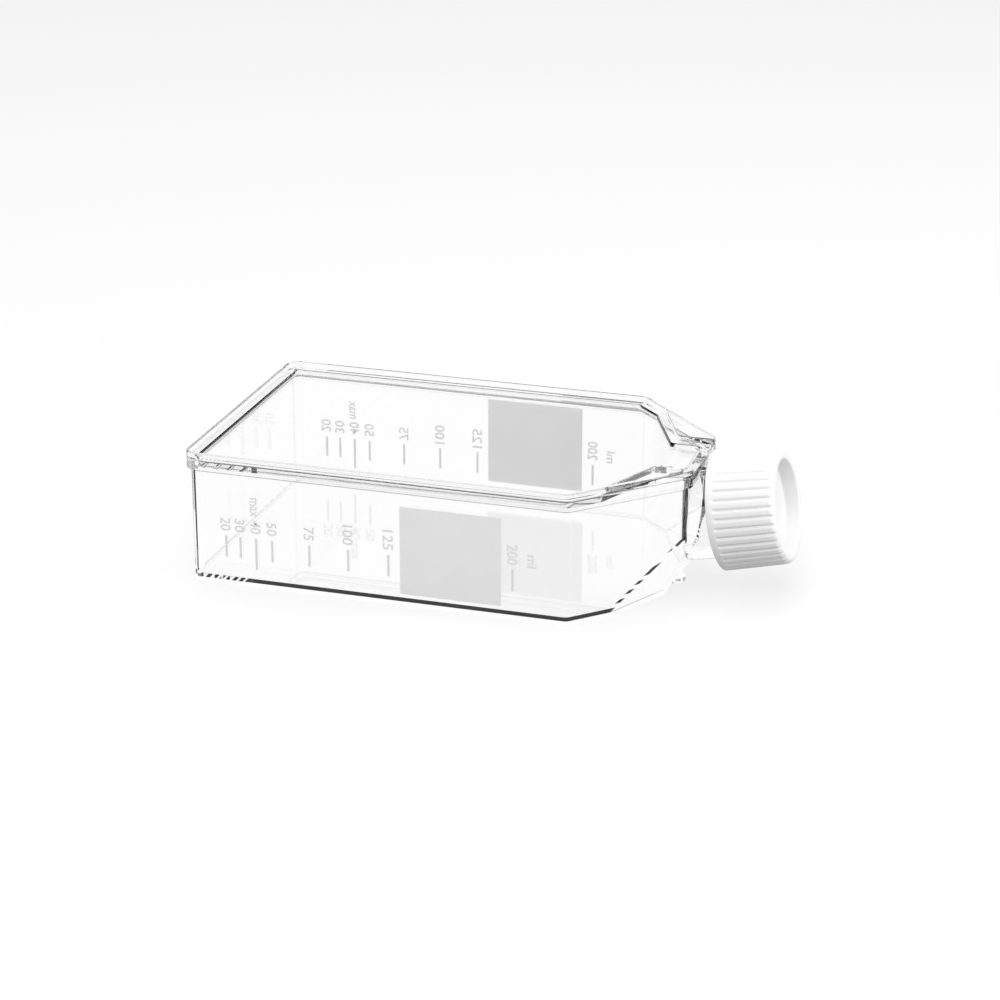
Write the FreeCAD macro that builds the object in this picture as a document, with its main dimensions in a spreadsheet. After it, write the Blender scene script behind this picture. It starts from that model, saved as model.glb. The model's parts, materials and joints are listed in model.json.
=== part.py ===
import FreeCAD, Part
import os

import Sketcher
from FreeCAD import Placement, Rotation, Vector

# Cell culture flask: a clear moulded tray with a tilted threaded neck, a clear plate welded on
# its flange, and a ribbed screw cap.  Millimetres, +Z up, origin at the middle of the face that
# the flask rests on, neck towards +X.

SIZES = (
    ("body_length", 125.0, "back wall to front wall, outside"),
    ("body_width", 74.4, "side wall to side wall, outside"),
    ("front_width", 25.8, "front wall, between the 45 degree shoulders"),
    ("corner_radius", 2.5, "upright corners, outside"),
    ("wall", 1.3, "walls and keel"),
    ("inside_radius", 2.0, "upright corners, inside"),
    ("floor_fillet", 0.4, "inside, floor to walls"),
    ("foot_height", 0.9, "perimeter foot, below the floor"),
    ("foot_width", 1.3, "perimeter foot, outside to inside"),
    ("floor_thickness", 1.0, "growth floor"),
    ("sole_height", 1.4, "upright band below the keel"),
    ("sole_front", 20.3, "front edge of the sole"),
    ("keel_run", 15.3, "front wall back to the keel's corner on the shoulder"),
    ("keel_rise", 15.9, "sole band up to the keel's corner on the front wall"),
    ("ramp_run", 6.1, "front wall back to the front edge of the sole"),
    ("ramp_rise", 7.1, "sole band up to the top of the ramp under the neck"),
    ("tab_radius", 3.0, "half-round tab on the front edge of the sole"),
    ("tab_thickness", 1.1, "half-round tab"),
    ("seam_height", 33.7, "resting face up to the weld seam"),
    ("overhang", 1.15, "flange and plate beyond the walls"),
    ("flange_height", 1.9, "upright edge of the flange"),
    ("flange_slope", 1.9, "height of the slope from the wall out to the flange"),
    ("edge_round", 0.3, "rounded outer edges of flange and plate"),
    ("lip_round", 0.3, "rounded inner edge of the stacking lip"),
    ("step_round", 0.6, "rounded edge from the ledge down to the panel"),
    ("plate_height", 1.9, "seam up to the top of the stacking lip"),
    ("lip_width", 0.9, "stacking lip"),
    ("ledge_height", 0.4, "seam up to the ledge inside the lip"),
    ("panel_drop", 0.95, "ledge down to the top of the panel"),
    ("panel_thickness", 1.8, "panel"),
    ("panel_wall", 0.65, "upright wall from the ledge down to the panel"),
    ("panel_clearance", 0.2, "that wall to the inside of the flask's walls"),
    ("nest_run", 16.9, "front wall back to where the nest leaves the shoulder"),
    ("nest_front_run", 8.5, "front wall back to the end of the nest's slanted side"),
    ("nest_front", 22.2, "opening of the nest towards the neck"),
    ("neck_headroom", 1.5, "weld seam down to the top of the neck, at the front wall"),
    ("neck_tilt", 11.1, "neck axis above the horizontal, degrees"),
    ("neck_radius", 12.4, "neck tube, outside"),
    ("bore_radius", 10.2, "neck tube, inside"),
    ("neck_root", 6.0, "neck tube behind the face of the front wall"),
    ("rim_round", 0.5, "rounded edge of the neck's rim"),
    ("thread_height", 1.4, "thread crest above the tube"),
    ("thread_foot", 2.2, "thread, width at the tube"),
    ("thread_crest", 0.9, "thread, width at the crest"),
    ("thread_pitch", 3.2, "advance in one turn"),
    ("thread_turns", 1.75, "turns"),
    ("thread_inset", 1.4, "neck's rim back to the end of the thread"),
    ("cap_gap", 6.2, "front wall to the open end of the cap, along the axis"),
    ("cap_clearance", 0.3, "thread to cap wall, and plug to bore"),
    ("rim_clearance", 0.4, "neck's rim to the web of the cap"),
    ("cap_wall", 1.6, "cap wall over the thread, at its open end"),
    ("cap_taper", 0.7, "how much less the cap's radius is at its closed end"),
    ("cap_band", 1.8, "smooth band at the open end"),
    ("cap_round", 1.2, "rounded edge at the closed end"),
    ("ring_width", 3.4, "ring around the recess in the closed end"),
    ("recess_depth", 3.8, "recess in the closed end"),
    ("web_thickness", 1.3, "web behind the recess"),
    ("web_depth", 12.4, "open end of the cap down to the web"),
    ("plug_length", 2.2, "plug seal, below the web"),
    ("plug_thickness", 1.1, "plug seal"),
    ("rib_count", 40, "grip ribs"),
    ("groove_width", 1.0, "groove between two ribs"),
    ("groove_depth", 0.5, "groove between two ribs"),
    ("groove_margin", 1.5, "closed end back to the end of the grooves"),
)

FAR = 60.0      # reach of the cutters beyond what they cut
LAP = 1.0       # how far a cutter or a fused piece runs past a shared face

doc = FreeCAD.newDocument("culture_flask")
sheet = doc.addObject("Spreadsheet::Sheet", "sizes")
for row, (alias, value, note) in enumerate(SIZES, start=1):
    sheet.set("A%d" % row, note)
    sheet.set("B%d" % row, str(value))
    sheet.setAlias("B%d" % row, alias)
doc.recompute()


# ---------------------------------------------------------------- places on the plan
FRONT = "(sizes.body_length / 2)"
SHOULDER_RUN = "((sizes.body_width - sizes.front_width) / 2)"
KEEL_CORNER_Y = "(sizes.front_width / 2 + sizes.keel_run)"
FLOOR = "(sizes.foot_height + sizes.floor_thickness)"
NEST = "(sizes.overhang - sizes.lip_width)"
PANEL_EDGE = "(-sizes.wall - sizes.panel_clearance)"
FLANGE_FOOT = "(sizes.seam_height - sizes.flange_height - sizes.flange_slope)"
NECK_HEIGHT = "(sizes.seam_height - sizes.neck_headroom - sizes.neck_radius)"
NECK_REACH = "(sizes.cap_gap + sizes.web_depth - sizes.rim_clearance)"


def value_of(expression):
    """The number that an expression on the sheet stands for."""
    return float(sheet.evalExpression(expression))


def mirrored(corners):
    """Corners given for -Y, from the back to the front, followed by their mirror images."""
    return corners + [(x, "-(%s)" % y) for x, y in reversed(corners)]


def plan(offset):
    """Plan outline of the walls, moved outwards by an offset."""
    side = "-(sizes.body_width / 2 + %s)" % offset
    nose = "-(sizes.front_width / 2 + %s * tan(22.5))" % offset
    return mirrored([
        ("-(%s + %s)" % (FRONT, offset), side),
        ("%s - %s + %s * tan(22.5)" % (FRONT, SHOULDER_RUN, offset), side),
        ("%s + %s" % (FRONT, offset), nose),
    ])


def sole_plan():
    """Plan outline of the sole: the walls' outline, cut short where the keel starts."""
    back, bend = plan("0")[:2]
    return mirrored([
        back,
        bend,
        ("%s - sizes.keel_run" % FRONT, "-%s" % KEEL_CORNER_Y),
        ("%s - sizes.ramp_run" % FRONT, "-sizes.sole_front / 2"),
    ])


def nest_plan(offset, front):
    """Plan outline of the nest, moved outwards from the walls' outline by an offset.

    It leaves the shoulder on a slant and stays open towards the neck, up to its front edge.
    """
    back, bend = plan(offset)[:2]
    inset = "(%s - %s)" % (NEST, offset)
    half_front = "(sizes.nest_front / 2)"
    half_shoulder = "(sizes.front_width / 2 + sizes.nest_run + %s * sqrt(2))" % NEST
    slant = "atan2(%s - %s; sizes.nest_run - sizes.nest_front_run)" % (half_shoulder, half_front)
    turn = "tan((%s - 45 deg) / 2)" % slant
    return mirrored([
        back,
        bend,
        ("%s - sizes.nest_run - %s * (sin(%s) - %s * cos(%s))" % (FRONT, inset, slant, turn, slant),
         "%s * (cos(%s) + %s * sin(%s)) - %s" % (inset, slant, turn, slant, half_shoulder)),
        ("%s - sizes.nest_front_run - %s * tan(%s / 2)" % (FRONT, inset, slant),
         "%s - %s" % (inset, half_front)),
        (front, "%s - %s" % (inset, half_front)),
    ])


# ---------------------------------------------------------------- building helpers
def bind(target, **expressions):
    for name, expression in expressions.items():
        target.setExpression(name, expression)


def origin_feature(body, role):
    return next(item for item in body.Origin.OriginFeatures if item.Role == role)


def polygon(body, name, corners, plane="XY_Plane", lift=None):
    """Closed polygon sketch with every corner dimensioned from the origin."""
    sketch = body.newObject("Sketcher::SketchObject", name)
    sketch.AttachmentSupport = [(origin_feature(body, plane), "")]
    sketch.MapMode = "FlatFace"
    if lift:
        sketch.setExpression(".AttachmentOffset.Base.z", lift)
    points = [Vector(value_of(x), value_of(y), 0) for x, y in corners]
    following = points[1:] + points[:1]
    for start, end in zip(points, following):
        sketch.addGeometry(Part.LineSegment(start, end), False)
    for index in range(len(points)):
        after = (index + 1) % len(points)
        sketch.addConstraint(Sketcher.Constraint("Coincident", index, 2, after, 1))
    for index, (point, corner) in enumerate(zip(points, corners)):
        for kind, distance, expression in zip(("DistanceX", "DistanceY"), point, corner):
            number = sketch.addConstraint(Sketcher.Constraint(kind, -1, 1, index, 1, distance))
            sketch.setExpression("Constraints[%d]" % number, expression)
    return sketch


def pad(body, name, corners, length, lift=None):
    feature = body.newObject("PartDesign::Pad", name)
    feature.Profile = polygon(body, name + "_sketch", corners, lift=lift)
    bind(feature, Length=length)
    return feature


def dress(body, kind, name, chosen):
    """Fillet or chamfer of the edges that a test picks from the body's present shape."""
    doc.recompute()
    base = body.Tip
    feature = body.newObject(kind, name)
    feature.Base = (base, edge_names(base.Shape, chosen))
    return feature


def round_edges(body, name, radius, chosen):
    bind(dress(body, "PartDesign::Fillet", name, chosen), Radius=radius)


def edge_names(shape, chosen):
    return ["Edge%d" % number for number, edge in enumerate(shape.Edges, start=1) if chosen(edge)]


def upright(edge):
    box = edge.BoundBox
    return box.XLength < 1e-4 and box.YLength < 1e-4


def level(height):
    """Test for edges that lie in the horizontal plane at a height."""
    return lambda edge: max(abs(edge.BoundBox.ZMin - height), abs(edge.BoundBox.ZMax - height)) < 1e-4


def prism(name, corners, length, lift, radius):
    """Body with a padded outline and rounded upright corners."""
    body = doc.addObject("PartDesign::Body", name)
    pad(body, name + "_pad", corners, length, lift)
    round_edges(body, name + "_corners", radius, upright)
    return body


def on_neck(target, distance):
    """Stand an object on the neck's axis, at a distance from the face of the front wall."""
    target.Placement = Placement(Vector(0, 0, 0), Rotation(Vector(0, 1, 0), 90))
    bind(target, **{
        ".Placement.Base.x": "%s + (%s) * cos(sizes.neck_tilt)" % (FRONT, distance),
        ".Placement.Base.z": "%s + (%s) * sin(sizes.neck_tilt)" % (NECK_HEIGHT, distance),
        ".Placement.Rotation.Angle": "90 - sizes.neck_tilt",
    })


def cylinder(name, radius, height):
    target = doc.addObject("Part::Cylinder", name)
    bind(target, Radius=radius, Height=height)
    return target


def combine(kind, name, first, others):
    """Part boolean: first cut by the others, or fused with them."""
    if kind == "Part::MultiFuse":
        result = doc.addObject(kind, name)
        result.Shapes = [first] + others
        return result
    tool = others[0]
    if len(others) > 1:
        tool = combine("Part::MultiFuse", name + "_tools", others[0], others[1:])
    result = doc.addObject(kind, name)
    result.Base = first
    result.Tool = tool
    return result


def wall_tops(low, high):
    """Test for the top edges of the upright faces that reach from one height to another."""
    def chosen(shape):
        tops = [edge for face in shape.Faces
                if abs(face.BoundBox.ZMin - low) < 1e-4 and abs(face.BoundBox.ZMax - high) < 1e-4
                for edge in face.Edges if level(high)(edge)]
        return lambda edge: any(edge.isSame(top) for top in tops)
    return chosen


def fillet(name, base, picks):
    """Fillet of a Part object: each pick holds a test for edges and the radius that they get."""
    doc.recompute()
    result = doc.addObject("Part::Fillet", name)
    result.Base = base
    edges = []
    for chosen, radius in picks:
        test = chosen(base.Shape)
        size = value_of(radius)
        edges += [(number, size, size) for number, edge in enumerate(base.Shape.Edges, start=1) if test(edge)]
    result.Edges = edges
    return result


def beyond(name, point, along, outward, inset):
    """Box that fills everything outside a plane, which may be moved inwards first."""
    box = doc.addObject("Part::Box", name)
    box.Length = 2 * FAR
    box.Width = 2 * FAR
    box.Height = FAR
    across = outward.cross(along)
    corner = point - outward * inset - along * FAR - across * FAR
    box.Placement = Placement(corner, Rotation(along, across, outward, "ZXY"))
    return box


def keel_cutters(name, inset):
    """Boxes that leave the keel: the ramp under the neck and the facet on each side of it."""
    front = value_of(FRONT)
    sole = value_of("sizes.sole_height")
    ramp_foot = Vector(front - value_of("sizes.ramp_run"), value_of("sizes.sole_front / 2"), sole)
    ramp_top = Vector(front, 0, sole + value_of("sizes.ramp_rise"))
    across = Vector(0, 1, 0)
    rise = ramp_top - Vector(ramp_foot.x, 0, sole)
    cutters = [beyond(name + "_ramp", ramp_foot, across, rise.cross(across).negative().normalize(), inset)]
    for side, word in ((1, "left"), (-1, "right")):
        shoulder = Vector(front - value_of("sizes.keel_run"), side * value_of(KEEL_CORNER_Y), sole)
        corner = Vector(front, side * value_of("sizes.front_width / 2"), sole + value_of("sizes.keel_rise"))
        foot = Vector(ramp_foot.x, side * ramp_foot.y, sole)
        along = (foot - shoulder).normalize()
        outward = along.cross(corner - shoulder).normalize()
        if outward.x < 0:
            outward = outward.negative()
        cutters.append(beyond("%s_%s" % (name, word), shoulder, along, outward, inset))
    return cutters


# ---------------------------------------------------------------- flask_tray
def flange_blank():
    """Flange as a solid slab: upright edge with rounded corners, sloping in below to the walls."""
    body = doc.addObject("PartDesign::Body", "flange")
    pad(body, "flange_pad", plan("sizes.overhang"), "sizes.flange_height + sizes.flange_slope", FLANGE_FOOT)
    round_edges(body, "flange_corners", "sizes.corner_radius + sizes.overhang", upright)
    foot = level(value_of(FLANGE_FOOT))
    back = value_of("-(%s + sizes.overhang)" % FRONT)
    # one edge is named, and the chamfer runs on from it round the tangent corners
    slope = dress(body, "PartDesign::Chamfer", "flange_slope",
                  lambda edge: foot(edge) and abs(edge.BoundBox.XMax - back) < 1e-4)
    slope.ChamferType = "Two distances"
    bind(slope, Size="sizes.flange_slope", Size2="sizes.overhang")
    top = value_of("sizes.seam_height")
    bend = top - value_of("sizes.flange_height")
    round_edges(body, "flange_edges", "sizes.edge_round", lambda edge: level(top)(edge) or level(bend)(edge))
    return body


def threaded_neck():
    """Neck tube, still solid, with the thread wound round it."""
    body = doc.addObject("PartDesign::Body", "neck")
    length = "(sizes.neck_root + %s)" % NECK_REACH
    tube = body.newObject("PartDesign::Revolution", "neck_tube")
    tube.Profile = polygon(body, "neck_section", [
        ("0", "0"),
        ("sizes.neck_radius", "0"),
        ("sizes.neck_radius", length),
        ("0", length),
    ], "XZ_Plane")
    tube.ReferenceAxis = (tube.Profile[0], ["V_Axis"])
    rim = value_of(length)
    round_edges(body, "neck_rim", "sizes.rim_round", level(rim))
    thread = body.newObject("PartDesign::AdditiveHelix", "thread")
    start = "(%s - sizes.thread_inset - sizes.thread_foot - sizes.thread_pitch * sizes.thread_turns)" % length
    sunk = "sizes.neck_radius - sizes.thread_height / 2"
    crest = "sizes.neck_radius + sizes.thread_height"
    slant = "(sizes.thread_foot - sizes.thread_crest) / 2"
    thread.Profile = polygon(body, "thread_section", [
        (sunk, start),
        ("sizes.neck_radius", start),
        (crest, "%s + %s" % (start, slant)),
        (crest, "%s + %s + sizes.thread_crest" % (start, slant)),
        ("sizes.neck_radius", "%s + sizes.thread_foot" % start),
        (sunk, "%s + sizes.thread_foot" % start),
    ], "XZ_Plane")
    thread.ReferenceAxis = (thread.Profile[0], ["V_Axis"])
    thread.Mode = "pitch-turns-angle"
    bind(thread, Pitch="sizes.thread_pitch", Turns="sizes.thread_turns")
    on_neck(body, "-sizes.neck_root")
    return body


def flask_tray():
    sole = prism("sole", sole_plan(), "sizes.sole_height", None, "sizes.corner_radius")
    walls = prism("walls", plan("0"), "sizes.seam_height - sizes.sole_height", "sizes.sole_height",
                  "sizes.corner_radius")
    hull = combine("Part::Cut", "hull", walls, keel_cutters("keel", 0))
    tab = cylinder("tab", "sizes.tab_radius", "sizes.tab_thickness")
    bind(tab, **{
        ".Placement.Base.x": "%s - sizes.ramp_run" % FRONT,
        ".Placement.Base.z": "sizes.sole_height - sizes.tab_thickness",
    })
    outside = combine("Part::MultiFuse", "tray_outside", sole, [hull, flange_blank(), threaded_neck(), tab])

    room = prism("room", plan("-sizes.wall"), "sizes.seam_height - %s + %s" % (FLOOR, LAP), FLOOR,
                 "sizes.inside_radius")
    round_edges(room, "room_floor", "sizes.floor_fillet", level(value_of(FLOOR)))
    inside = combine("Part::Cut", "tray_inside", room, keel_cutters("inner_keel", value_of("sizes.wall")))
    bore = cylinder("bore", "sizes.bore_radius", "sizes.neck_root + %s + %s" % (NECK_REACH, LAP))
    on_neck(bore, "-sizes.neck_root")
    foot = doc.addObject("Part::Offset2D", "foot_outline")
    foot.Source = doc.getObject("sole_pad_sketch")
    foot.Join = "Intersection"
    bind(foot, Value="-sizes.foot_width")
    under = doc.addObject("Part::Extrusion", "under_floor")
    under.Base = foot
    under.Solid = True
    under.DirMode = "Custom"
    under.Dir = Vector(0, 0, 1)
    bind(under, LengthFwd="sizes.foot_height")
    return combine("Part::Cut", "flask_tray", outside, [inside, bore, under])


# ---------------------------------------------------------------- top_plate
def top_plate():
    """Plate with a stacking lip, a ledge inside it and a panel sunk between the walls."""
    body = doc.addObject("PartDesign::Body", "plate")
    pad(body, "plate_rim", plan("sizes.overhang"), "sizes.plate_height", "sizes.seam_height")
    round_edges(body, "plate_corners", "sizes.corner_radius + sizes.overhang", upright)
    seam = value_of("sizes.seam_height")
    lip = seam + value_of("sizes.plate_height")
    round_edges(body, "plate_edges", "sizes.edge_round", lambda edge: level(seam)(edge) or level(lip)(edge))
    ledge = "(sizes.seam_height + sizes.ledge_height)"
    panel_top = "(%s - sizes.panel_drop)" % ledge
    panel_under = "(%s - sizes.panel_thickness)" % panel_top
    pad(body, "downstand", nest_plan(PANEL_EDGE, "%s + %s" % (FRONT, PANEL_EDGE)),
        "sizes.seam_height - %s" % panel_under, panel_under)
    low = value_of(panel_under)
    round_edges(body, "downstand_corners", "sizes.inside_radius",
                lambda edge: upright(edge) and abs(edge.BoundBox.ZMin - low) < 1e-4)
    nest_front = "%s + sizes.overhang + sizes.corner_radius + %s" % (FRONT, LAP)
    nest = prism("nest", nest_plan(NEST, nest_front), "sizes.plate_height + %s" % LAP, ledge,
                 "sizes.corner_radius")
    sunk_edge = "(%s - sizes.panel_wall)" % PANEL_EDGE
    sunk = prism("sunk", nest_plan(sunk_edge, "%s + %s" % (FRONT, sunk_edge)),
                 "sizes.panel_drop + %s" % LAP, panel_top, "(sizes.inside_radius - sizes.panel_wall)")
    blank = combine("Part::Cut", "plate_blank", body, [nest, sunk])
    foot = value_of(ledge)
    return fillet("top_plate", blank, [
        (wall_tops(foot, lip), "sizes.lip_round"),
        (wall_tops(value_of(panel_top), foot), "sizes.step_round"),
    ])


# ---------------------------------------------------------------- screw_cap
def screw_cap():
    """Cap, built upright from its open end and then laid on the neck's axis."""
    body = doc.addObject("PartDesign::Body", "screw_cap")
    wall = "(sizes.neck_radius + sizes.thread_height + sizes.cap_clearance)"
    foot = "(%s + sizes.cap_wall)" % wall
    crown = "(%s - sizes.cap_taper)" % foot
    plug = "(sizes.bore_radius - sizes.cap_clearance)"
    recess_floor = "(sizes.web_depth + sizes.web_thickness)"
    end = "(%s + sizes.recess_depth)" % recess_floor
    turned = body.newObject("PartDesign::Revolution", "cap_turned")
    turned.Profile = polygon(body, "cap_section", [
        (wall, "0"),
        (foot, "0"),
        (foot, "sizes.cap_band"),
        (crown, end),
        ("%s - sizes.ring_width" % crown, end),
        ("%s - sizes.ring_width" % crown, recess_floor),
        ("0", recess_floor),
        ("0", "sizes.web_depth"),
        ("%s - sizes.plug_thickness" % plug, "sizes.web_depth"),
        ("%s - sizes.plug_thickness" % plug, "sizes.web_depth - sizes.plug_length"),
        (plug, "sizes.web_depth - sizes.plug_length"),
        (plug, "sizes.web_depth"),
        (wall, "sizes.web_depth"),
    ], "XZ_Plane")
    turned.ReferenceAxis = (turned.Profile[0], ["V_Axis"])
    outer = value_of(crown)
    round_edges(body, "cap_edge", "sizes.cap_round",
                lambda edge: level(value_of(end))(edge) and abs(edge.BoundBox.XMax - outer) < 1e-4)
    doc.recompute()
    before = body.Shape.Volume
    groove = body.newObject("PartDesign::Pocket", "groove")
    groove_end = "%s - sizes.groove_margin" % end
    groove.Profile = polygon(body, "groove_section", [
        ("%s - sizes.groove_depth" % foot, "sizes.cap_band"),
        ("%s + %s" % (foot, LAP), "sizes.cap_band"),
        ("%s + %s" % (foot, LAP), groove_end),
        ("%s - sizes.groove_depth" % crown, groove_end),
    ], "XZ_Plane")
    groove.SideType = "Symmetric"
    bind(groove, Length="sizes.groove_width")
    ribs = body.newObject("PartDesign::PolarPattern", "ribs")
    ribs.Originals = [groove]
    ribs.Axis = (origin_feature(body, "Z_Axis"), [""])
    ribs.Angle = 360
    bind(ribs, Occurrences="sizes.rib_count")
    body.Tip = ribs
    doc.recompute()
    if body.Shape.Volume >= before:
        raise RuntimeError("the grooves cut nothing from the cap")
    on_neck(body, "sizes.cap_gap")
    return body


# ---------------------------------------------------------------- checks and files
def write(pieces):
    """Stop on any failed object or bad solid, then write one STEP file for each piece."""
    doc.recompute()
    failed = [item.Name for item in doc.Objects if {"Invalid", "Error"} & set(item.State)]
    if failed:
        raise RuntimeError("failed objects: " + ", ".join(failed))
    for piece in pieces:
        shape = piece.Shape
        if shape.isNull() or not shape.isValid() or len(shape.Solids) != 1:
            raise RuntimeError("%s is not one valid solid" % piece.Label)
    os.makedirs("parts", exist_ok=True)
    for piece in pieces:
        piece.Shape.exportStep("parts/%s.step" % piece.Label)
        print("%-10s %9.1f mm3" % (piece.Label, piece.Shape.Volume))


write([flask_tray(), top_plate(), screw_cap()])
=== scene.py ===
"""Finishes for a cell culture flask: clear body, ribbed screw cap, volume marks and writing fields."""

import json
import math

import bmesh
import bpy
from bpy.props import FloatProperty, FloatVectorProperty, IntProperty, PointerProperty
from mathutils import Matrix, Vector


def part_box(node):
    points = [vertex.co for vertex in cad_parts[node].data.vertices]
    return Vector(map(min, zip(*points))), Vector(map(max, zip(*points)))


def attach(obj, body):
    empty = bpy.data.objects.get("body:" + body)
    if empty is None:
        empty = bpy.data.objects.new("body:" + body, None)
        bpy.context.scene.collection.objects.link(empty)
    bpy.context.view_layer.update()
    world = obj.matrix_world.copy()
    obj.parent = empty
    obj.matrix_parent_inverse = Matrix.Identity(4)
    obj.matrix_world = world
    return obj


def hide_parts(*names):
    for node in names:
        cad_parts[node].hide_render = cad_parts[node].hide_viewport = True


bl_info = {
    "name": "Cell culture flask",
    "version": (1, 0, 0),
    "blender": (4, 5, 0),
    "location": "View3D > Sidebar > Culture flask",
    "description": "Clear body, ribbed screw cap, volume marks and writing fields of a culture flask",
    "category": "Object",
}

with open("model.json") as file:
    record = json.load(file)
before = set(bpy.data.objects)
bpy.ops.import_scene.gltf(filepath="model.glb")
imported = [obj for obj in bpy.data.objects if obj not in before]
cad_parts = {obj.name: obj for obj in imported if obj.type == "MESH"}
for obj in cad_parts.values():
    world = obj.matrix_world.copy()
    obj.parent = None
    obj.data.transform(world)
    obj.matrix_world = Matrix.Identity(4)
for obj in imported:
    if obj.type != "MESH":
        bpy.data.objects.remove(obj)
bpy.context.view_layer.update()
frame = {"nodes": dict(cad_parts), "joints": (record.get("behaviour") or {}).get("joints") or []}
TRAY_LOW, TRAY_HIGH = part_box("flask_tray")
LIFT_AXIS = Vector(frame["joints"][0]["axis"]).normalized()
MM = 0.001


def length(label, millimetres, description, low=0.0):
    return FloatProperty(name=label, description=description, default=millimetres * MM, min=low,
                         unit="LENGTH", precision=5)


def colour(label, shade, description):
    return FloatVectorProperty(name=label, description=description, default=shade, size=3,
                               min=0.0, max=1.0, subtype="COLOR")


# ---------------------------------------------------------------- sizes and colours
class BodySizes(bpy.types.PropertyGroup):
    seam: length("Weld seam", 33.7, "Height of the seam between the walls and the top plate")
    wall: length("Wall", 1.3, "Thickness of the walls")
    overhang: length("Flange overhang", 1.15, "Flange and plate beyond the walls")
    shoulder_end: length("Shoulder", 38.2, "Middle of the flask to where the shoulders start")


class CapSizes(bpy.types.PropertyGroup):
    seat: FloatVectorProperty(
        name="Open end", description="Middle of the cap's open end, on the neck's axis",
        default=(0.068584, 0.0, 0.020994), size=3, subtype="TRANSLATION", unit="LENGTH", precision=6)
    depth: length("Length", 17.5, "Open end to closed end")
    open_radius: length("Radius, open end", 15.7, "Outside, at the open end")
    closed_radius: length("Radius, closed end", 15.0, "Outside, at the closed end")
    wall_radius: length("Radius inside", 14.1, "Inside wall, around the neck's thread")
    band: length("Smooth band", 1.8, "Band without grooves at the open end")
    shoulder: length("Shoulder round", 1.6, "Rounded edge at the closed end")
    lip_round: length("Open edge round", 0.3, "Rounded edges at the open end")
    recess_radius: length("Recess radius", 11.6, "Recess in the closed end")
    recess_depth: length("Recess depth", 3.8, "Recess in the closed end")
    recess_round: length("Recess rounds", 0.5, "Rounded edges of the recess")
    web: length("Web depth", 12.4, "Open end to the inner face of the web")
    plug_radius: length("Plug radius", 9.9, "Seal that enters the neck's bore")
    plug_wall: length("Plug wall", 1.1, "Thickness of the seal")
    plug_length: length("Plug length", 2.2, "How far the seal stands below the web")
    groove_depth: length("Groove depth", 0.42, "Grooves between the grip ribs")
    rib_count: IntProperty(name="Ribs", description="Grip ribs round the cap", default=40, min=8)
    groove_share: FloatProperty(name="Groove share", description="Part of the pitch that a groove takes",
                                default=0.5, min=0.1, max=0.9, subtype="FACTOR")
    thread_pitch: length("Thread pitch", 3.2, "Advance of the inner thread in one turn")
    thread_turns: FloatProperty(name="Thread turns", description="Turns of the inner thread",
                                default=2.0, min=0.5)
    thread_relief: length("Thread relief", 0.22, "How far the inner thread stands out of the wall")
    thread_start: length("Thread start", 2.6, "Open end to the first turn of the inner thread")


class PrintSizes(bpy.types.PropertyGroup):
    film: length("Ink thickness", 0.04, "Thickness of the printed film")
    lift: length("Ink gap", 0.02, "Air between the wall and the film")
    line_low: length("Line foot", 7.7, "Lower end of the volume lines")
    line_high: length("Line top", 13.6, "Upper end of the volume lines")
    line_width: length("Line width", 0.6, "Width of the volume lines")
    limit_low: length("Limit line foot", 5.0, "Lower end of the longer line at the filling limit")
    digit_foot: length("Number foot", 14.9, "Lower end of the numbers")
    digit_height: length("Number height", 2.8, "Height of the numbers")
    digit_pitch: length("Number pitch", 1.8, "Room for each digit")
    field_back: length("Field back edge", -5.6, "Edge of the writing field nearest to the back", -1.0)
    field_front: length("Field front edge", 21.1, "Edge of the writing field nearest to the neck")
    near_field_low: length("Right field foot", 3.3, "Lower edge of the field on the right side")
    near_field_high: length("Right field top", 27.0, "Upper edge of the field on the right side")
    far_field_low: length("Left field foot", 5.6, "Lower edge of the field on the left side")
    far_field_high: length("Left field top", 29.4, "Upper edge of the field on the left side")
    field_corner: length("Field corners", 0.4, "Corner radius of the writing fields")


class Finishes(bpy.types.PropertyGroup):
    clear_tint: colour("Clear plastic tint", (0.985, 0.985, 0.985), "Faint tint in the clear plastic")
    clear_index: FloatProperty(name="Refractive index", description="Of the clear plastic",
                               default=1.59, min=1.0, max=2.0)
    cap_white: colour("Cap", (0.82, 0.82, 0.82), "Satin white of the screw cap")
    ink: colour("Ink", (0.74, 0.74, 0.74), "Printed lines and numbers")
    field: colour("Writing field", (0.92, 0.92, 0.92), "Frosted fields on the side walls")
    floor: colour("Floor", (0.8, 0.8, 0.8), "Pale studio floor")


class StageSizes(bpy.types.PropertyGroup):
    camera_place: FloatVectorProperty(
        name="Camera", description="Where the camera stands", default=(0.22476, -0.68987, 0.29873),
        size=3, subtype="TRANSLATION", unit="LENGTH", precision=5)
    camera_tilt: FloatProperty(name="Camera tilt", description="Below the horizontal",
                               default=math.radians(21.32), subtype="ANGLE", unit="ROTATION")
    camera_turn: FloatProperty(name="Camera turn", description="Round the vertical",
                               default=math.radians(17.35), subtype="ANGLE", unit="ROTATION")
    camera_lens: FloatProperty(name="Focal length", description="On a 36 mm sensor, in millimetres",
                               default=106.85, min=10.0)
    floor_size: length("Floor", 12000.0, "Side of the square floor")
    lamp_power: FloatProperty(name="Lamp power", description="Power of each soft lamp, in watts",
                              default=6.6, min=0.0)
    sky: FloatProperty(name="Sky", description="Strength of the soft light from all round",
                       default=0.45, min=0.0)
    shadow: FloatProperty(name="Shadow", description="How much of the floor's own shading shows",
                          default=0.3, min=0.0, max=1.0, subtype="FACTOR")
    bounces: IntProperty(name="Bounces", description="Light bounces that are followed in the plastic",
                         default=16, min=1)


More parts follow.
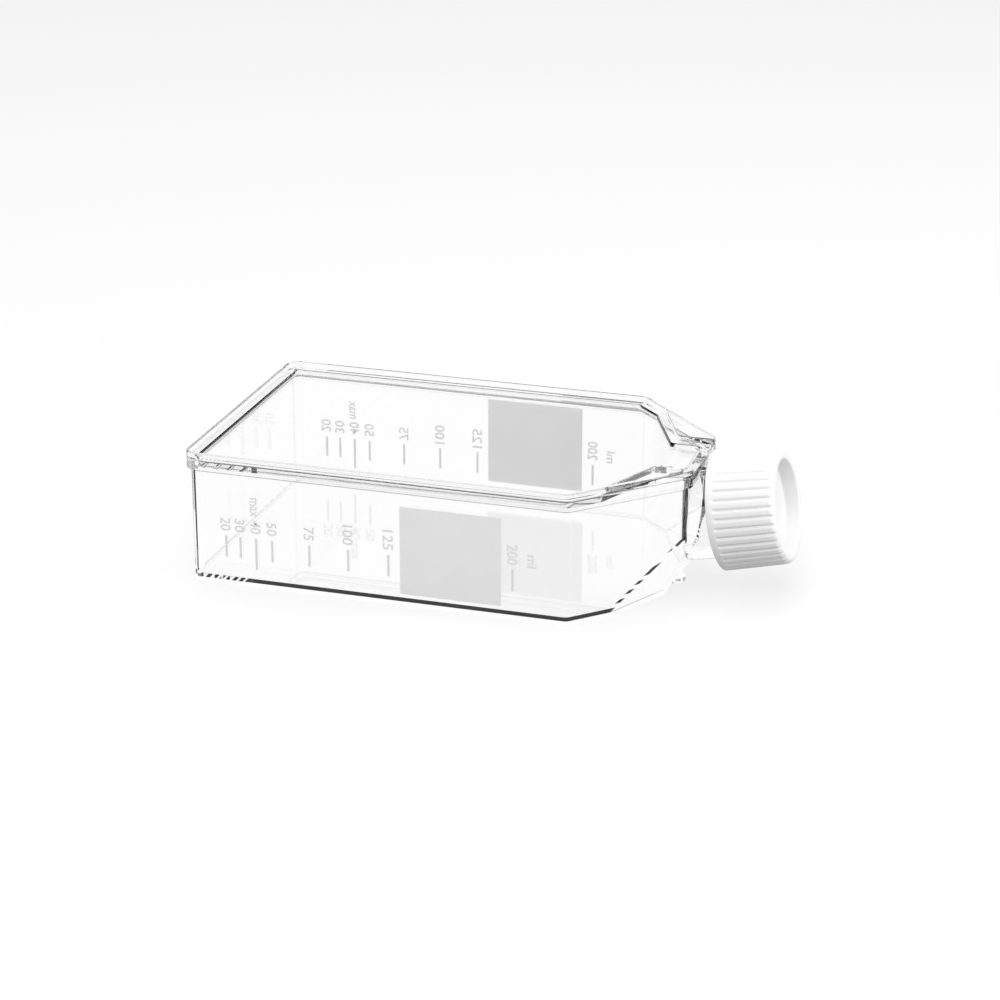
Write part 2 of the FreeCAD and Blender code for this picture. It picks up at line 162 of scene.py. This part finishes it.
# ---------------------------------------------------------------- node trees
class Number:
    """A socket that carries a number. Python's operators on it add the Math nodes."""

    def __init__(self, finish, socket):
        self.finish = finish
        self.socket = socket

    def maths(self, operation, first, second, clamp=False):
        settings = {"operation": operation, "use_clamp": clamp}
        node = self.finish.add("ShaderNodeMath", settings, {0: first, 1: second})
        return Number(self.finish, node.outputs[0])

    def __add__(self, other):
        return self.maths("ADD", self, other)

    def __radd__(self, other):
        return self.maths("ADD", other, self)

    def __sub__(self, other):
        return self.maths("SUBTRACT", self, other)

    def __rsub__(self, other):
        return self.maths("SUBTRACT", other, self)

    def __mul__(self, other):
        return self.maths("MULTIPLY", self, other)

    def __rmul__(self, other):
        return self.maths("MULTIPLY", other, self)

    def clamped(self):
        return self.maths("ADD", self, 0.0, clamp=True)


class NodeTree:
    """Node tree, and the one method that fills it."""

    def __init__(self, tree):
        self.tree = tree

    def add(self, kind, settings=None, values=None):
        """New node: its settings first, then what its sockets hold or are linked to."""
        node = self.tree.nodes.new(kind)
        for name, setting in (settings or {}).items():
            if name == "stops":
                for stop, (position, shade) in zip(node.color_ramp.elements, setting):
                    stop.position = position
                    stop.color = shade
            else:
                setattr(node, name, setting)
        for key, value in (values or {}).items():
            value = getattr(value, "socket", value)
            if isinstance(value, bpy.types.NodeSocket):
                self.tree.links.new(value, node.inputs[key])
            else:
                node.inputs[key].default_value = value
        return node


class Finish(NodeTree):
    """Node tree of a material or a world, emptied, with what the finishes share."""

    def __init__(self, owner):
        owner.use_nodes = True
        super().__init__(owner.node_tree)
        self.tree.nodes.clear()

    def number(self, node, output=0):
        return Number(self, node.outputs[output])

    def place(self):
        """The point on the piece, in metres."""
        return self.add("ShaderNodeTexCoord").outputs["Object"]

    def noise(self, grain, detail=2.0, rough=0.5):
        """Soft random pattern from 0 to 1, whose patches are about a grain across."""
        values = {"Vector": self.place(), "Scale": 1.0 / grain, "Detail": detail, "Roughness": rough}
        return self.number(self.add("ShaderNodeTexNoise", {"noise_dimensions": "3D"}, values), "Fac")

    def shades(self, factor, first, second):
        """Colour that goes from the first to the second."""
        values = {0: factor, 6: (*first, 1.0), 7: (*second, 1.0)}
        return self.add("ShaderNodeMix", {"data_type": "RGBA"}, values).outputs[2]

    def bump(self, height, distance, strength=1.0):
        values = {"Height": height, "Distance": distance, "Strength": strength}
        return self.add("ShaderNodeBump", None, values).outputs["Normal"]

    def seen_rays(self):
        """1 for what the camera sees, directly, in a reflection or through the plastic."""
        rays = self.add("ShaderNodeLightPath")
        seen = self.number(rays, "Is Camera Ray") + self.number(rays, "Is Glossy Ray")
        return (seen + self.number(rays, "Is Transmission Ray")).clamped()

    def end(self, shader, kind="ShaderNodeOutputMaterial"):
        self.add(kind, None, {"Surface": shader})


def clear_polystyrene(finishes, body):
    """Clear glossy moulding: hardly any tint, faint flow waves and a breath of haze."""
    material = bpy.data.materials.new("clear_polystyrene")
    finish = Finish(material)
    tint = finish.shades(finish.noise(18 * MM), (1.0, 1.0, 1.0), finishes.clear_tint)
    haze = 0.03 * finish.noise(9 * MM, 4.0)
    waves = finish.bump(finish.noise(11 * MM, 1.0), 0.02 * MM, 0.3)
    plastic = finish.add("ShaderNodeBsdfPrincipled", None, {
        "Base Color": tint,
        "Roughness": haze,
        "Normal": waves,
        "IOR": finishes.clear_index,
        "Transmission Weight": 1.0,
    })
    lamp_light = finish.add("ShaderNodeBsdfTransparent", None, {"Color": (0.94, 0.94, 0.94, 1.0)})
    rays = finish.add("ShaderNodeLightPath")
    lit = finish.add("ShaderNodeMixShader", None, {
        0: rays.outputs["Is Shadow Ray"], 1: plastic.outputs[0], 2: lamp_light.outputs[0]})
    fused = finish.add("ShaderNodeBsdfTransparent")
    finish.end(finish.add("ShaderNodeMixShader", None, {
        0: weld(finish, body), 1: lit.outputs[0], 2: fused.outputs[0]}).outputs[0])
    return material


SEAM_SPREAD = 0.01 * MM     # how near to the seam a face counts as lying on it


def weld(finish, body):
    """1 on the faces where plate and walls are fused, so that the plastic has no surface there."""
    axes = finish.add("ShaderNodeSeparateXYZ", None, {0: finish.place()})
    x, y, z = (finish.number(axes, name) for name in "XYZ")
    across = y.maths("ABSOLUTE", y, 0.0)
    front = -TRAY_LOW.x - body.overhang
    side = TRAY_HIGH.y - body.overhang
    shoulder = (x + across - (side + body.shoulder_end)) * math.sqrt(0.5)
    outside = x.maths("MAXIMUM", x.maths("ABSOLUTE", x, 0.0) - front, across - side)
    outside = outside.maths("MAXIMUM", outside, shoulder)
    over_wall = outside.maths("GREATER_THAN", outside, -body.wall)
    level = z.maths("LESS_THAN", z.maths("ABSOLUTE", z - body.seam, 0.0), SEAM_SPREAD)
    return over_wall * level


def satin_polyethylene(finishes):
    """White cap: satin, with a fine spark-eroded grain and a slightly uneven sheen."""
    material = bpy.data.materials.new("satin_polyethylene")
    finish = Finish(material)
    white = tuple(finishes.cap_white)
    deep = tuple(0.96 * part for part in white)
    patches = finish.noise(6 * MM, 3.0)
    grain = finish.noise(0.16 * MM, 2.0)
    finish.end(finish.add("ShaderNodeBsdfPrincipled", None, {
        "Base Color": finish.shades(patches, white, deep),
        "Roughness": 0.42 + 0.14 * patches,
        "Normal": finish.bump(grain + 0.6 * patches, 0.012 * MM, 0.6),
        "IOR": 1.5,
    }).outputs[0])
    return material


def screen_ink(finishes):
    """Printed ink: matt, a little uneven where the screen laid it down."""
    material = bpy.data.materials.new("screen_ink")
    finish = Finish(material)
    ink = tuple(finishes.ink)
    pale = tuple(min(1.0, 1.18 * part) for part in ink)
    weave = finish.noise(0.25 * MM, 2.0)
    finish.end(finish.add("ShaderNodeBsdfPrincipled", None, {
        "Base Color": finish.shades(weave, ink, pale),
        "Roughness": 0.5 + 0.2 * weave,
        "Normal": finish.bump(weave, 0.006 * MM, 0.5),
    }).outputs[0])
    return material


def frosted_film(finishes):
    """Writing field: matt off-white film with a fine tooth for a pen or pencil."""
    material = bpy.data.materials.new("frosted_film")
    finish = Finish(material)
    white = tuple(finishes.field)
    pale = tuple(min(1.0, 1.05 * part) for part in white)
    tooth = finish.noise(0.2 * MM, 3.0)
    clouds = finish.noise(8 * MM, 2.0)
    finish.end(finish.add("ShaderNodeBsdfPrincipled", None, {
        "Base Color": finish.shades(clouds, white, pale),
        "Roughness": 0.7 + 0.2 * tooth,
        "Alpha": 0.76 + 0.1 * tooth,
        "Normal": finish.bump(tooth, 0.015 * MM, 0.7),
    }).outputs[0])
    return material


# ---------------------------------------------------------------- mesh helpers
def new_piece(name, shell, material):
    """Object at the origin with a mesh made of a bmesh shell."""
    mesh = bpy.data.meshes.new(name)
    shell.to_mesh(mesh)
    shell.free()
    piece = bpy.data.objects.new(name, mesh)
    bpy.context.scene.collection.objects.link(piece)
    mesh.materials.append(material)
    return piece


def arc(middle, radius, start, end, steps):
    """Points (depth, radius) on an arc, with its angles in degrees from the depth axis."""
    points = []
    for step in range(steps + 1):
        angle = math.radians(start + (end - start) * step / steps)
        points.append((middle[0] + radius * math.cos(angle), middle[1] + radius * math.sin(angle)))
    return points


# ---------------------------------------------------------------- screw cap
PLUG_ROOT = 0.3 * MM        # round where the seal meets the web, inside
WALL_ROOT = 0.6 * MM        # round where the web meets the cap's wall
BEAD_RADIUS = 0.55 * MM     # bead of the inner thread
SECTOR_COLUMNS = 14         # faces across one rib
THREAD_STEPS = 96           # points on one turn of the inner thread
BEAD_SIDES = 10
WELD_DISTANCE = 2e-6        # joins the sectors' edges
GROOVE_CURVE = 1.4          # a higher number gives a narrower groove
RUN_OUT_LEAD = 0.6 * MM     # last full depth of the groove, before the rounded shoulder

# depth from the top of the smooth band, and the share of the groove's depth that is reached there
GROOVE_START = ((-0.35 * MM, 0.0), (-0.1 * MM, 0.12), (0.12 * MM, 0.6), (0.35 * MM, 0.92), (0.7 * MM, 1.0))
# the same share at each point of the rounded shoulder, where the groove runs out
GROOVE_END = (1.0, 0.97, 0.88, 0.72, 0.5, 0.28, 0.12, 0.03, 0.0, 0.0)


def cap_section(sizes):
    """Half section of the cap: (depth from the open end, radius, share of the groove depth)."""
    edge = sizes.lip_round
    plug_low = sizes.web - sizes.plug_length
    plug_in = sizes.plug_radius - sizes.plug_wall
    tip = sizes.plug_wall / 4
    recess_floor = sizes.depth - sizes.recess_depth
    soft = sizes.recess_round
    inner = [(sizes.web, 0.0), (sizes.web, plug_in * 0.6), (sizes.web, plug_in - PLUG_ROOT)]
    inner += arc((sizes.web - PLUG_ROOT, plug_in - PLUG_ROOT), PLUG_ROOT, 0, 90, 3)
    inner += arc((plug_low + tip, plug_in + tip), tip, 270, 180, 3)
    inner += arc((plug_low + tip, sizes.plug_radius - tip), tip, 180, 90, 3)
    inner += [(sizes.web, sizes.plug_radius), (sizes.web, sizes.wall_radius - WALL_ROOT)]
    inner += arc((sizes.web - WALL_ROOT, sizes.wall_radius - WALL_ROOT), WALL_ROOT, 0, 90, 4)
    inner += arc((edge, sizes.wall_radius + edge), edge, 270, 180, 4)
    inner += arc((edge, sizes.open_radius - edge), edge, 180, 90, 4)
    section = [(depth, radius, 0.0) for depth, radius in inner]

    slope = (sizes.closed_radius - sizes.open_radius) / sizes.depth
    turn = sizes.shoulder
    run_out = sizes.depth - turn
    sides = [(sizes.band + beyond, share) for beyond, share in GROOVE_START]
    sides += [(sizes.depth * part, 1.0) for part in (0.35, 0.55, 0.75)]
    sides.append((run_out - RUN_OUT_LEAD, 1.0))
    for depth, share in sides:
        section.append((depth, sizes.open_radius + slope * depth, share))
    middle = (run_out, sizes.closed_radius - turn)
    bend = arc(middle, turn, 90, 0, len(GROOVE_END) - 1)
    section += [(depth, radius, share) for (depth, radius), share in zip(bend, GROOVE_END)]

    ring = arc((sizes.depth - soft, sizes.recess_radius + soft), soft, 0, -90, 4)
    ring += arc((recess_floor + soft, sizes.recess_radius - soft), soft, 90, 180, 4)
    ring += [(recess_floor, sizes.recess_radius * 0.6), (recess_floor, sizes.recess_radius * 0.15),
             (recess_floor, 0.0)]
    section += [(depth, radius, 0.0) for depth, radius in ring]
    return section


def groove_shape(share, width):
    """Depth of the groove across one rib's pitch, from 0 on the rib to 1 in the groove."""
    reach = abs(share) / (width / 2)
    if reach >= 1.0:
        return 0.0
    return math.cos(reach * math.pi / 2) ** GROOVE_CURVE


def cap_sector(sizes):
    """One rib's share of the cap, upright, with the groove in its middle."""
    columns = SECTOR_COLUMNS
    pitch = math.tau / sizes.rib_count
    shell = bmesh.new()
    rows = []
    for depth, radius, share in cap_section(sizes):
        row = []
        for column in range(columns + 1):
            place = column / columns - 0.5
            if radius == 0.0 and column:
                row.append(row[0])
                continue
            cut = share * sizes.groove_depth * groove_shape(place, sizes.groove_share)
            angle = place * pitch
            reach = radius - cut
            row.append(shell.verts.new((reach * math.cos(angle), reach * math.sin(angle), depth)))
        rows.append(row)
    for lower, upper in zip(rows, rows[1:]):
        for column in range(columns):
            corners = [lower[column], lower[column + 1], upper[column + 1], upper[column]]
            corners = [corner for place, corner in enumerate(corners) if corner not in corners[:place]]
            if len(corners) > 2:
                shell.faces.new(corners)
    return shell


def ribbed_cap_tree():
    """Geometry nodes: sectors set round the axis, and an inner thread as a bead on the wall."""
    tree = bpy.data.node_groups.new("ribbed_cap", "GeometryNodeTree")
    add = NodeTree(tree).add
    for name, kind in (("Geometry", "Geometry"), ("Ribs", "Int"), ("Thread radius", "Float"),
                       ("Thread start", "Float"), ("Thread height", "Float"), ("Thread turns", "Float"),
                       ("Bead radius", "Float"), ("Material", "Material")):
        tree.interface.new_socket(name, in_out="INPUT", socket_type="NodeSocket" + kind)
    tree.interface.new_socket("Geometry", in_out="OUTPUT", socket_type="NodeSocketGeometry")
    given = add("NodeGroupInput").outputs
    points = add("GeometryNodeMeshLine", {"mode": "OFFSET"}, {"Count": given["Ribs"], "Offset": (0, 0, 0)})
    step = add("ShaderNodeMath", {"operation": "DIVIDE"}, {0: math.tau, 1: given["Ribs"]})
    index = add("GeometryNodeInputIndex")
    turn = add("ShaderNodeMath", {"operation": "MULTIPLY"}, {0: index.outputs[0], 1: step.outputs[0]})
    spin = add("ShaderNodeCombineXYZ", None, {"Z": turn.outputs[0]})
    ribs = add("GeometryNodeInstanceOnPoints", None, {
        "Points": points.outputs[0], "Instance": given["Geometry"], "Rotation": spin.outputs[0]})
    solid_ribs = add("GeometryNodeRealizeInstances", None, {"Geometry": ribs.outputs[0]})
    shell = add("GeometryNodeMergeByDistance", None, {
        "Geometry": solid_ribs.outputs[0], "Distance": WELD_DISTANCE})

    spiral = add("GeometryNodeCurveSpiral", None, {
        "Resolution": THREAD_STEPS, "Rotations": given["Thread turns"], "Height": given["Thread height"],
        "Start Radius": given["Thread radius"], "End Radius": given["Thread radius"]})
    bead = add("GeometryNodeCurvePrimitiveCircle", {"mode": "RADIUS"},
               {"Resolution": BEAD_SIDES, "Radius": given["Bead radius"]})
    thread = add("GeometryNodeCurveToMesh", None, {
        "Curve": spiral.outputs[0], "Profile Curve": bead.outputs[0], "Fill Caps": True})
    raised = add("ShaderNodeCombineXYZ", None, {"Z": given["Thread start"]})
    placed = add("GeometryNodeTransform", None, {
        "Geometry": thread.outputs[0], "Translation": raised.outputs[0]})

    joined = add("GeometryNodeJoinGeometry", None, {"Geometry": shell.outputs[0]})
    tree.links.new(placed.outputs[0], joined.inputs["Geometry"])
    whole = add("GeometryNodeRealizeInstances", None, {"Geometry": joined.outputs[0]})
    coated = add("GeometryNodeSetMaterial", None, {
        "Geometry": whole.outputs[0], "Material": given["Material"]})
    add("NodeGroupOutput", None, {"Geometry": coated.outputs[0]})
    return tree


def give_inputs(modifier, values):
    """Set a geometry nodes modifier's inputs by the identifiers of their sockets."""
    for item in modifier.node_group.interface.items_tree:
        if item.item_type == "SOCKET" and item.in_out == "INPUT" and item.name in values:
            modifier[item.identifier] = values[item.name]


def settle(piece, modifier):
    """Turn what the modifier makes into the piece's own plain mesh."""
    bpy.context.view_layer.update()
    evaluated = piece.evaluated_get(bpy.context.evaluated_depsgraph_get())
    made = bpy.data.meshes.new_from_object(evaluated)
    piece.modifiers.remove(modifier)
    piece.data = made


class CULTUREFLASK_OT_screw_cap(bpy.types.Operator):
    """Model the ribbed screw cap, with its recess, seal and inner thread"""

    bl_idname = "cultureflask.screw_cap"
    bl_label = "Screw cap"

    def execute(self, context):
        sizes = context.scene.culture_flask_cap
        material = satin_polyethylene(context.scene.culture_flask_finishes)
        piece = new_piece("ribbed_cap", cap_sector(sizes), material)
        modifier = piece.modifiers.new("ribs", "NODES")
        modifier.node_group = ribbed_cap_tree()
        give_inputs(modifier, {
            "Ribs": sizes.rib_count,
            "Thread radius": sizes.wall_radius + BEAD_RADIUS - sizes.thread_relief,
            "Thread start": sizes.thread_start,
            "Thread height": sizes.thread_pitch * sizes.thread_turns,
            "Thread turns": sizes.thread_turns,
            "Bead radius": BEAD_RADIUS,
            "Material": material,
        })
        settle(piece, modifier)
        shell = bmesh.new()
        shell.from_mesh(piece.data)
        bmesh.ops.recalc_face_normals(shell, faces=shell.faces)
        turn = Vector((0, 0, 1)).rotation_difference(LIFT_AXIS).to_matrix().to_4x4()
        shell.transform(Matrix.Translation(Vector(sizes.seat)) @ turn)
        shell.to_mesh(piece.data)
        shell.free()
        piece.data.shade_smooth()
        piece.data.set_sharp_from_angle(angle=math.radians(50))
        if not piece.data.polygons:
            raise RuntimeError("the screw cap came out empty")
        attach(piece, "cap")
        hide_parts("screw_cap")
        return {"FINISHED"}


# ---------------------------------------------------------------- clear plastic
class CULTUREFLASK_OT_clear_body(bpy.types.Operator):
    """Give the tray and the top plate their clear plastic"""

    bl_idname = "cultureflask.clear_body"
    bl_label = "Clear body"

    def execute(self, context):
        scene = context.scene
        material = clear_polystyrene(scene.culture_flask_finishes, scene.culture_flask_body)
        for name in ("flask_tray", "top_plate"):
            node = frame["nodes"][name]
            node.data.materials.clear()
            node.data.materials.append(material)
        return {"FINISHED"}


# ---------------------------------------------------------------- prints on the side walls
def on_side_wall(sizes, overhang, side):
    """Matrix that lays a flat drawing on a side wall's outside.

    In the drawing X runs along a line of text and Y up through its letters. On the wall the
    letters' tops point towards the neck, so the text reads down on the right and up on the left.
    """
    wall = side * (TRAY_HIGH.y - overhang + sizes.lift)
    along = Vector((0, 0, side))
    tops = Vector((1, 0, 0))
    out = along.cross(tops)
    turn = Matrix((along, tops, out)).transposed().to_4x4()
    return Matrix.Translation((0, wall, 0)) @ turn


def add_slab(shell, outline, thickness):
    """Closed flat slab with the outline given anticlockwise at its back."""
    back = [shell.verts.new((x, y, 0.0)) for x, y in outline]
    front = [shell.verts.new((x, y, thickness)) for x, y in outline]
    shell.faces.new(list(reversed(back)))
    shell.faces.new(front)
    for place in range(len(outline)):
        after = (place + 1) % len(outline)
        shell.faces.new([back[place], back[after], front[after], front[place]])


def rounded_outline(low, high, radius, steps=5):
    """Corners of a rectangle from low to high, rounded, anticlockwise."""
    outline = []
    corners = ((high[0], high[1]), (low[0], high[1]), (low[0], low[1]), (high[0], low[1]))
    for corner, (x, y) in enumerate(corners):
        centre = (x - math.copysign(radius, x - (low[0] + high[0]) / 2),
                  y - math.copysign(radius, y - (low[1] + high[1]) / 2))
        for step in range(steps + 1):
            angle = math.radians(90 * corner + 90 * step / steps)
            outline.append((centre[0] + radius * math.cos(angle), centre[1] + radius * math.sin(angle)))
    return outline


def add_text(shell, words, start, height, run, thickness):
    """Raised text whose first letter starts at a point, as long and high as asked."""
    curve = bpy.data.curves.new("words", "FONT")
    curve.body = words
    curve.size = 1.0
    curve.extrude = 0.5
    curve.resolution_u = 4
    curve.offset = LETTER_WEIGHT
    drawing = bpy.data.objects.new("words", curve)
    bpy.context.scene.collection.objects.link(drawing)
    bpy.context.view_layer.update()
    mesh = bpy.data.meshes.new_from_object(drawing.evaluated_get(bpy.context.evaluated_depsgraph_get()))
    bpy.data.objects.remove(drawing)
    bpy.data.curves.remove(curve)
    if not mesh.vertices:
        raise RuntimeError("the text %s came out empty" % words)
    letters = bmesh.new()
    letters.from_mesh(mesh)
    bpy.data.meshes.remove(mesh)
    bmesh.ops.remove_doubles(letters, verts=letters.verts, dist=1e-5)
    bmesh.ops.recalc_face_normals(letters, faces=letters.faces)
    low = Vector([min(vert.co[axis] for vert in letters.verts) for axis in range(3)])
    high = Vector([max(vert.co[axis] for vert in letters.verts) for axis in range(3)])
    scale = Matrix.Diagonal((run / (high.x - low.x), height, thickness, 1.0))
    letters.transform(Matrix.Translation((*start, 0.0)) @ scale @ Matrix.Translation((-low.x, 0.0, -low.z)))
    flat = bpy.data.meshes.new("letters")
    letters.to_mesh(flat)
    letters.free()
    shell.from_mesh(flat)
    bpy.data.meshes.remove(flat)


# position along the flask from its middle, and the volume that is printed there
VOLUMES = ((-52.7, "20"), (-48.8, "30"), (-44.5, "40"), (-40.1, "50"), (-30.0, "75"), (-19.5, "100"),
           (-8.7, "125"), (24.1, "200"))
FILLING_LIMIT = "40"
DIGIT_RISE = 0.72               # height of a digit, as a share of the font's size
LETTER_WEIGHT = 0.012           # how much the letters are thickened, in the font's own units
LIMIT_WORD = (1.0 * MM, 5.2 * MM)       # room between the limit's number and its word, and the word's length
UNIT_REACH = (14.6 * MM, 18.0 * MM)     # heights on the wall between which the unit is printed
UNIT_PLACE = 28.0 * MM          # foot of the unit's letters, along the flask
UNIT_SIZE = 3.4 * MM


def volume_marks(sizes, side):
    """Lines and numbers of one side wall, in the drawing's plane."""
    shell = bmesh.new()
    film = sizes.film

    def along(low, high):
        """Start and end along the text of what reaches from one height to another."""
        return (low, high) if side > 0 else (-high, -low)

    for distance, volume in VOLUMES:
        x = distance * MM
        limit = volume == FILLING_LIMIT
        start, end = along(sizes.limit_low if limit else sizes.line_low, sizes.line_high)
        half = sizes.line_width / 2
        add_slab(shell, [(start, x - half), (end, x - half), (end, x + half), (start, x + half)], film)
        run = sizes.digit_pitch * len(volume)
        size = sizes.digit_height / DIGIT_RISE
        foot = x - sizes.digit_height / 2
        start, end = along(sizes.digit_foot, sizes.digit_foot + run)
        add_text(shell, volume, (start, foot), size, end - start, film)
        if limit:
            gap, word = LIMIT_WORD
            above = sizes.digit_foot + run + gap
            start, end = along(above, above + word)
            add_text(shell, "max", (start, foot), size, end - start, film)
    start, end = along(*UNIT_REACH)
    add_text(shell, "ml", (start, UNIT_PLACE), UNIT_SIZE, end - start, film)
    return shell


class CULTUREFLASK_OT_volume_marks(bpy.types.Operator):
    """Print the volume lines and numbers on both side walls"""

    bl_idname = "cultureflask.volume_marks"
    bl_label = "Volume marks"

    def execute(self, context):
        sizes = context.scene.culture_flask_prints
        material = screen_ink(context.scene.culture_flask_finishes)
        for side, word in ((-1, "right"), (1, "left")):
            shell = volume_marks(sizes, side)
            shell.transform(on_side_wall(sizes, context.scene.culture_flask_body.overhang, side))
            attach(new_piece("volume_marks_" + word, shell, material), "flask")
        return {"FINISHED"}


class CULTUREFLASK_OT_writing_fields(bpy.types.Operator):
    """Print the frosted writing field on each side wall"""

    bl_idname = "cultureflask.writing_fields"
    bl_label = "Writing fields"

    def execute(self, context):
        sizes = context.scene.culture_flask_prints
        material = frosted_film(context.scene.culture_flask_finishes)
        heights = {"right": (sizes.near_field_low, sizes.near_field_high),
                   "left": (sizes.far_field_low, sizes.far_field_high)}
        for side, word in ((-1, "right"), (1, "left")):
            low, high = sorted(side * height for height in heights[word])
            outline = rounded_outline((low, sizes.field_back), (high, sizes.field_front), sizes.field_corner)
            shell = bmesh.new()
            add_slab(shell, outline, sizes.film)
            shell.transform(on_side_wall(sizes, context.scene.culture_flask_body.overhang, side))
            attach(new_piece("writing_field_" + word, shell, material), "flask")
        return {"FINISHED"}


# ---------------------------------------------------------------- stage
FLOOR_BOUNCE = 0.4      # share of the floor's colour that lights the underside of the object
# sine of the elevation at which the dome stops being white, and at which it is dark
DOME_STOPS = ((0.39, (1.0, 1.0, 1.0, 1.0)), (0.43, (0.0, 0.0, 0.0, 1.0)))
# name, place and size of each soft lamp, in metres
LAMPS = (("front", (0.1, -0.8, 0.7), 0.8), ("top", (-0.1, 0.1, 1.0), 1.0), ("side", (0.95, 0.05, 0.35), 0.7))


def floor_material(finishes, stage):
    """Pale floor that keeps some of its shadow, and looks white through the plastic."""
    material = bpy.data.materials.new("studio_floor")
    finish = Finish(material)
    rays = finish.add("ShaderNodeLightPath")
    pale = tuple(finishes.floor)
    dim = tuple(FLOOR_BOUNCE * part for part in pale)
    shade = finish.shades(rays.outputs["Is Diffuse Ray"], pale, dim)
    shaded = finish.add("ShaderNodeBsdfDiffuse", None, {"Color": shade})
    white = finish.add("ShaderNodeEmission", None, {"Strength": 1.0})
    through = finish.number(rays, "Is Glossy Ray") + finish.number(rays, "Is Transmission Ray")
    amount = (finish.number(rays, "Is Camera Ray") * (1.0 - stage.shadow) + through).clamped()
    finish.end(finish.add("ShaderNodeMixShader", None, {
        0: amount, 1: shaded.outputs[0], 2: white.outputs[0]}).outputs[0])
    return material


def studio_world(stage):
    """Soft even light; what is seen of it is white low down and dark high overhead."""
    world = bpy.data.worlds.new("studio")
    finish = Finish(world)
    direction = finish.add("ShaderNodeTexCoord").outputs["Generated"]
    rise = finish.add("ShaderNodeSeparateXYZ", None, {0: direction}).outputs["Z"]
    dome = finish.add("ShaderNodeValToRGB", {"stops": DOME_STOPS}, {0: rise})
    seen = finish.add("ShaderNodeBackground", None, {"Color": dome.outputs[0], "Strength": 1.0})
    light = finish.add("ShaderNodeBackground", None, {"Strength": stage.sky})
    finish.end(finish.add("ShaderNodeMixShader", None, {
        0: finish.seen_rays(), 1: light.outputs[0], 2: seen.outputs[0]}).outputs[0], "ShaderNodeOutputWorld")
    return world


def soft_lamp(name, place, size, power, aim):
    """Square area lamp that lights the object and isn't seen in it."""
    data = bpy.data.lights.new(name, "AREA")
    data.shape = "SQUARE"
    data.size = size
    data.energy = power
    lamp = bpy.data.objects.new(name, data)
    bpy.context.scene.collection.objects.link(lamp)
    lamp.location = place
    lamp.rotation_euler = (aim - Vector(place)).to_track_quat("-Z", "Y").to_euler()
    lamp.visible_camera = False
    lamp.visible_glossy = False
    lamp.visible_transmission = False


class CULTUREFLASK_OT_stage(bpy.types.Operator):
    """Set up the floor, the lamps, the world and the camera"""

    bl_idname = "cultureflask.stage"
    bl_label = "Stage"

    def execute(self, context):
        scene = context.scene
        stage = scene.culture_flask_stage
        half = stage.floor_size / 2
        shell = bmesh.new()
        corners = ((-half, -half), (half, -half), (half, half), (-half, half))
        shell.faces.new([shell.verts.new((x, y, 0.0)) for x, y in corners])
        new_piece("studio_floor", shell, floor_material(scene.culture_flask_finishes, stage))
        scene.world = studio_world(stage)
        aim = (TRAY_LOW + TRAY_HIGH) / 2
        for name, place, size in LAMPS:
            soft_lamp(name, place, size, stage.lamp_power, aim)
        lens = bpy.data.cameras.new("camera")
        lens.lens = stage.camera_lens
        lens.sensor_width = 36.0
        lens.clip_start = 0.01
        camera = bpy.data.objects.new("camera", lens)
        scene.collection.objects.link(camera)
        camera.location = stage.camera_place
        camera.rotation_euler = (math.pi / 2 - stage.camera_tilt, 0.0, stage.camera_turn)
        scene.camera = camera
        scene.view_settings.view_transform = "Standard"
        for limit in ("max_bounces", "transmission_bounces", "glossy_bounces", "transparent_max_bounces"):
            setattr(scene.cycles, limit, stage.bounces)
        return {"FINISHED"}


# ---------------------------------------------------------------- panel and registration
STEPS = ("clear_body", "screw_cap", "volume_marks", "writing_fields", "stage")
GROUPS = (
    ("culture_flask_body", BodySizes, "Body"),
    ("culture_flask_cap", CapSizes, "Cap"),
    ("culture_flask_prints", PrintSizes, "Prints"),
    ("culture_flask_finishes", Finishes, "Finishes"),
    ("culture_flask_stage", StageSizes, "Stage"),
)


class CULTUREFLASK_PT_panel(bpy.types.Panel):
    """Culture flask: its steps, sizes and colours"""

    bl_idname = "CULTUREFLASK_PT_panel"
    bl_label = "Culture flask"
    bl_space_type = "VIEW_3D"
    bl_region_type = "UI"
    bl_category = "Culture flask"

    def draw(self, context):
        for step in STEPS:
            self.layout.operator("cultureflask." + step)
        for pointer, group, label in GROUPS:
            box = self.layout.box()
            box.label(text=label)
            for name in group.__annotations__:
                box.prop(getattr(context.scene, pointer), name)


CLASSES = tuple(group for pointer, group, label in GROUPS) + (
    CULTUREFLASK_OT_clear_body,
    CULTUREFLASK_OT_screw_cap,
    CULTUREFLASK_OT_volume_marks,
    CULTUREFLASK_OT_writing_fields,
    CULTUREFLASK_OT_stage,
    CULTUREFLASK_PT_panel,
)


def register():
    for entry in CLASSES:
        bpy.utils.register_class(entry)
    for pointer, group, label in GROUPS:
        setattr(bpy.types.Scene, pointer, PointerProperty(type=group))


def unregister():
    for pointer, group, label in GROUPS:
        delattr(bpy.types.Scene, pointer)
    for entry in reversed(CLASSES):
        bpy.utils.unregister_class(entry)


def main():
    register()
    for step in STEPS:
        getattr(bpy.ops.cultureflask, step)()


if __name__ == "__main__":
    main()
